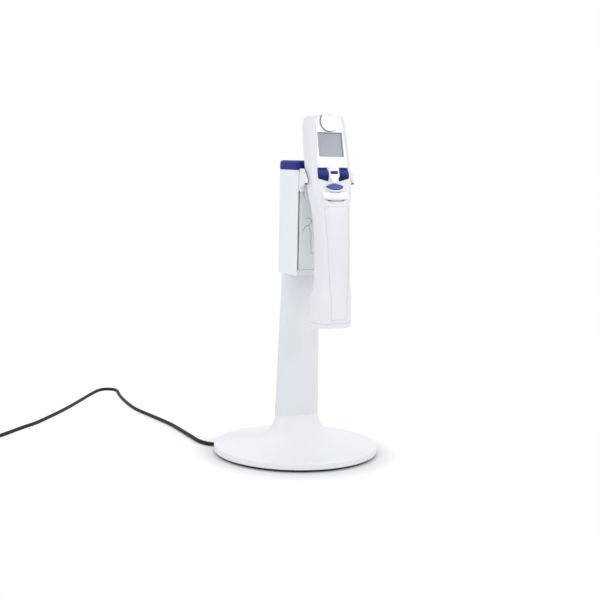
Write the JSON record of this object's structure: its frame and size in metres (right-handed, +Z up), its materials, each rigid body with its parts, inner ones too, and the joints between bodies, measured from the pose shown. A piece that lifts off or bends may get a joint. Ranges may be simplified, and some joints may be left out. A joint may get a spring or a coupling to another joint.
{
  "type": "repeating pipette on charging stand",
  "caption": "Hand-held electronic repeating pipette hanging on an upright charging stand with a round foot, oval column, cradle and coiled supply lead.",
  "frame": {"origin": "middle of the round foot's underside, on the table", "axes": "+Z up, -Y the side the pipette hangs on, +X to the right of someone facing it"},
  "size_m": [0.4288, 0.4273, 0.3228],
  "materials": {
    "stand_plastic": "fine satin moulded plastic",
    "column_plastic": "fine satin moulded plastic",
    "body_plastic": "smooth moulded plastic",
    "face_plastic": "glossy white plastic",
    "blue_plastic": "satin dark blue plastic",
    "panel_grey": "light grey satin plastic",
    "dark_plastic": "matt black plastic",
    "rubber": "matt rubber",
    "lead_jacket": "smooth lead jacket",
    "chassis_plastic": "glass filled plastic",
    "steel": "turned",
    "gold": "gold plated contact",
    "board": "solder mask",
    "lcd": "grey display glass",
    "window": "clear display window",
    "cell": "battery sleeve"
  },
  "bodies": {
    "stand": {"base_cover": "stand_plastic", "foot_ring": "rubber", "weight_plate": "steel", "column": "column_plastic", "tie_rod": "steel", "tie_nut": "steel", "inner_lead": "lead_jacket", "lead_grommet": "rubber", "housing_shell": "stand_plastic", "panel_backing": "dark_plastic", "front_panel": "panel_grey", "top_cap": "blue_plastic", "charger_board": "board", "board_screws": "steel", "cradle": "stand_plastic", "arm_pads": "rubber", "supply_lead": "lead_jacket", "lead_coil": "lead_jacket", "lead_tie": "rubber", "power_supply": "dark_plastic", "supply_prongs": "steel"},
    "pins": {"charge_pins": "gold"},
    "pipette": {"rear_shell": "body_plastic", "front_shell": "body_plastic", "foot_collar": "body_plastic", "tip_socket": "dark_plastic", "chassis": "chassis_plastic", "chassis_screws": "steel", "finger_hook": "body_plastic", "grip_panel": "body_plastic", "faceplate": "face_plastic", "display_window": "window", "display_module": "lcd", "circuit_board": "board", "head_tray": "chassis_plastic", "key_board": "board", "battery_pack": "cell", "charge_plates": "gold", "dial_encoder": "dark_plastic", "rocker_axle": "steel", "motor": "steel", "ejector_spring": "steel"},
    "cover": {"battery_cover": "body_plastic"},
    "mode_dial": {"dial": "face_plastic"},
    "left_rocker": {"rocker_left": "blue_plastic"},
    "right_rocker": {"rocker_right": "blue_plastic"},
    "menu_key": {"enter_key": "blue_plastic"},
    "dispense_key": {"start_key": "blue_plastic"},
    "ejector_slide": {"ejector": "body_plastic"},
    "push_rod": {"ejector_rod": "steel"},
    "spindle": {"lead_screw": "steel"},
    "piston_holder": {"plunger": "chassis_plastic"}
  },
  "joints": [
    {"name": "pipette_lift", "type": "slide", "parent": "stand", "child": "pipette", "axis": [0, 0, 1], "range_m": [0, 0.08]},
    {"name": "pin_press", "type": "slide", "parent": "stand", "child": "pins", "axis": [0, 1, 0], "range_m": [0, 0.0008], "stiffness_N_per_m": 200, "springref_m": -0.0005},
    {"name": "cover_slide", "type": "slide", "parent": "pipette", "child": "cover", "axis": [0, 0.213, 0.977], "range_m": [0, 0.05]},
    {"name": "dial_turn", "type": "hinge", "parent": "pipette", "child": "mode_dial", "pos_m": [0, -0.04872, 0.31353], "axis": [0, -0.977, 0.213], "continuous": true},
    {"name": "rocker_left_tilt", "type": "hinge", "parent": "pipette", "child": "left_rocker", "pos_m": [0, -0.05502, 0.26588], "axis": [1, 0, 0], "range_deg": [-5, 5], "stiffness_Nm_per_rad": 0.05},
    {"name": "rocker_right_tilt", "type": "hinge", "parent": "pipette", "child": "right_rocker", "pos_m": [0, -0.05502, 0.26588], "axis": [1, 0, 0], "range_deg": [-5, 5], "stiffness_Nm_per_rad": 0.05},
    {"name": "enter_press", "type": "slide", "parent": "pipette", "child": "menu_key", "axis": [0, 0.977, -0.213], "range_m": [0, 0.0006], "stiffness_N_per_m": 400, "springref_m": -0.0008},
    {"name": "start_press", "type": "slide", "parent": "pipette", "child": "dispense_key", "axis": [0, 0.7848, -0.6198], "range_m": [0, 0.0012], "stiffness_N_per_m": 500, "springref_m": -0.001},
    {"name": "ejector_push", "type": "slide", "parent": "pipette", "child": "ejector_slide", "axis": [0, -0.3256, -0.9455], "range_m": [0, 0.005], "stiffness_N_per_m": 300, "springref_m": -0.003},
    {"name": "ejector_rod_drop", "type": "slide", "parent": "pipette", "child": "push_rod", "axis": [0, 0, -1], "range_m": [0, 0.0048], "deforming": ["ejector_spring"]},
    {"name": "plunger_stroke", "type": "slide", "parent": "pipette", "child": "piston_holder", "axis": [0, 0, 1], "range_m": [0, 0.026]},
    {"name": "spindle_turn", "type": "hinge", "parent": "pipette", "child": "spindle", "pos_m": [0, -0.0595, 0.2], "axis": [0, 0, 1], "range_deg": [0, 1171]}
  ],
  "couplings": [
    {"joint": "spindle_turn", "follows": "plunger_stroke", "rad_per_m": 785.4},
    {"joint": "ejector_rod_drop", "follows": "ejector_push", "ratio": 0.9455}
  ]
}
